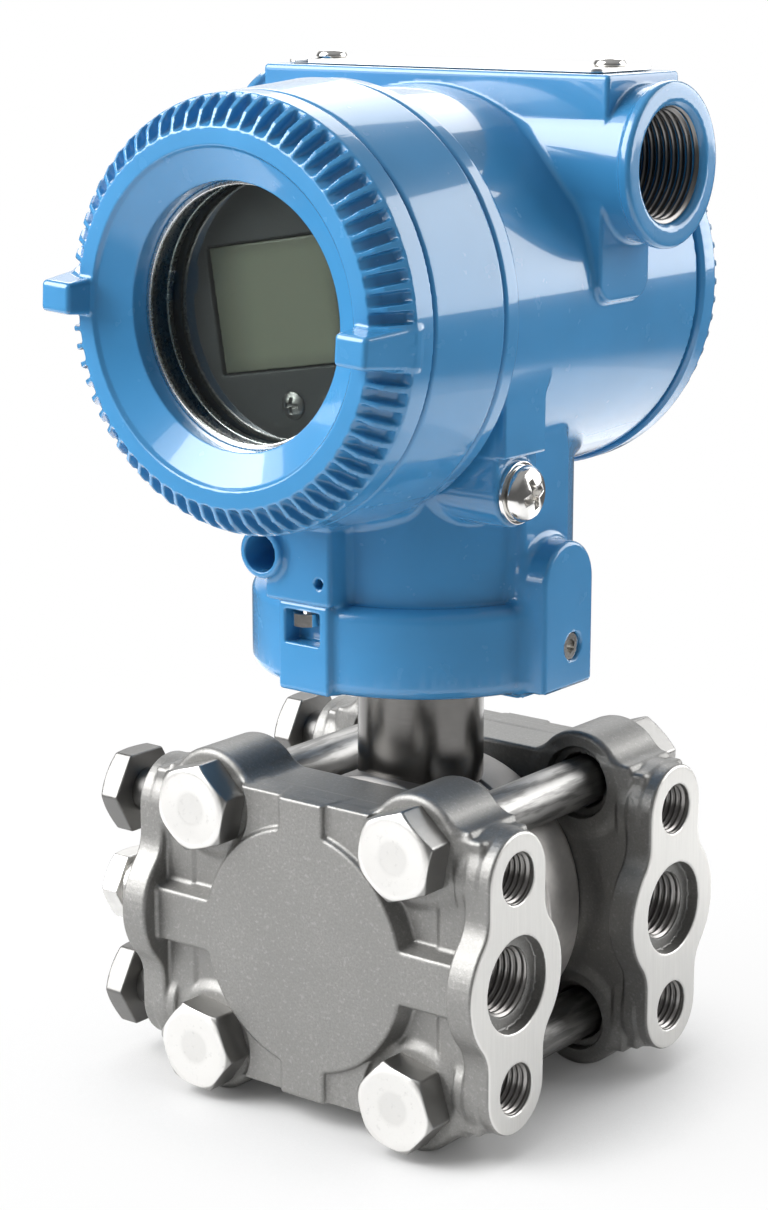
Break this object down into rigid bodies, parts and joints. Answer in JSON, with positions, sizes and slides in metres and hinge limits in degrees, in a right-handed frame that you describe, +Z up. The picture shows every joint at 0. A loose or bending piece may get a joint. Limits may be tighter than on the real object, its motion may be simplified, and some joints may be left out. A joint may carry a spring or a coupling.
{
  "type": "differential pressure transmitter",
  "caption": "Two-flange differential pressure sensor under a rotating cast housing with a windowed display cover, a blind rear cover, conduit entries and a top plate.",
  "frame": {"origin": "on the axis of the sensor neck, at the height of the four lower bosses that the flanges stand on", "axes": "+Z up along the neck, +X towards the open conduit entry and the open process ports, -Y towards the display window"},
  "size_m": [0.1057, 0.1136, 0.2025],
  "materials": {
    "flange_steel": "cast stainless steel, fine blasted grain",
    "bolt_steel": "bright machined stainless steel",
    "valve_steel": "turned stainless steel",
    "cell_steel": "turned stainless steel",
    "neck_steel": "polished stainless steel",
    "diaphragm_steel": "thin bright foil",
    "white_seal": "white sealing polymer",
    "black_seal": "soft black rubber",
    "blue_paint": "glossy blue paint on cast aluminium",
    "screw_steel": "bright plated steel",
    "window_glass": "clear toughened glass",
    "ring_steel": "bright steel",
    "display_case": "dark grey moulding",
    "display_screen": "olive grey reflective screen",
    "board_green": "green circuit board",
    "terminal_black": "black moulding",
    "pin_brass": "plated brass",
    "plate_steel": "brushed thin sheet",
    "button_red": "moulded button",
    "plug_beige": "dull plug"
  },
  "bodies": {
    "sensor": {"front_flange": "flange_steel", "rear_flange": "flange_steel", "flange_bolts": "bolt_steel", "flange_nuts": "bolt_steel", "pad_screws": "bolt_steel", "front_vent_body": "valve_steel", "rear_vent_body": "valve_steel", "sensor_cell": "cell_steel", "front_gasket": "white_seal", "rear_gasket": "white_seal", "front_diaphragm": "diaphragm_steel", "rear_diaphragm": "diaphragm_steel", "sensor_neck": "neck_steel", "neck_seal": "black_seal", "sensor_connector": "pin_brass"},
    "front_vent": {"front_vent_stem": "valve_steel"},
    "rear_vent": {"rear_vent_stem": "valve_steel"},
    "housing": {"housing": "blue_paint", "housing_set_screw": "screw_steel", "cover_jam_screw": "screw_steel", "ground_screw": "screw_steel", "ground_washer": "screw_steel", "display_module": "display_case", "display_screen": "display_screen", "display_screws": "screw_steel", "electronics_board": "board_green", "board_standoffs": "screw_steel", "terminal_block": "terminal_black", "terminal_screws": "screw_steel", "nameplate_screws": "screw_steel", "conduit_plug": "plug_beige"},
    "front_seal": {"front_cover_seal": "black_seal"},
    "display_cover": {"display_cover": "blue_paint", "window_glass": "window_glass", "window_front_ring": "ring_steel", "window_rear_ring": "ring_steel"},
    "rear_seal": {"rear_cover_seal": "black_seal"},
    "rear_cover": {"rear_cover": "blue_paint"},
    "nameplate": {"nameplate": "plate_steel"},
    "zero_button": {"zero_button": "button_red"},
    "span_button": {"span_button": "button_red"}
  },
  "joints": [
    {"name": "front_vent_turn", "type": "hinge", "parent": "sensor", "child": "front_vent", "pos_m": [-0.055, -0.027, 0.0352], "axis": [-1, 0, 0], "range_deg": [0, 360]},
    {"name": "rear_vent_turn", "type": "hinge", "parent": "sensor", "child": "rear_vent", "pos_m": [-0.055, 0.027, 0.0352], "axis": [-1, 0, 0], "range_deg": [0, 360]},
    {"name": "housing_turn", "type": "hinge", "parent": "sensor", "child": "housing", "pos_m": [0, 0, 0.0976], "axis": [0, 0, 1], "range_deg": [-180, 180]},
    {"name": "front_cover_travel", "type": "slide", "parent": "housing", "child": "front_seal", "axis": [0, -1, 0], "range_m": [0, 0.008]},
    {"name": "front_cover_turn", "type": "hinge", "parent": "front_seal", "child": "display_cover", "pos_m": [0, -0.045, 0.1584], "axis": [0, -1, 0], "range_deg": [0, 1800]},
    {"name": "rear_cover_travel", "type": "slide", "parent": "housing", "child": "rear_seal", "axis": [0, 1, 0], "range_m": [0, 0.008]},
    {"name": "rear_cover_turn", "type": "hinge", "parent": "rear_seal", "child": "rear_cover", "pos_m": [0, 0.034, 0.1584], "axis": [0, 1, 0], "range_deg": [0, 1800]},
    {"name": "nameplate_swing", "type": "hinge", "parent": "housing", "child": "nameplate", "pos_m": [0.0329, 0.01365, 0.1997], "axis": [0, 0, 1], "range_deg": [0, 90]},
    {"name": "zero_button_press", "type": "slide", "parent": "housing", "child": "zero_button", "axis": [0, 0, -1], "range_m": [0, 0.0015], "stiffness_N_per_m": 600},
    {"name": "span_button_press", "type": "slide", "parent": "housing", "child": "span_button", "axis": [0, 0, -1], "range_m": [0, 0.0015], "stiffness_N_per_m": 600}
  ],
  "couplings": [
    {"joint": "front_cover_travel", "follows": "front_cover_turn", "m_per_rad": 0.00025266},
    {"joint": "rear_cover_travel", "follows": "rear_cover_turn", "m_per_rad": 0.00025266}
  ]
}
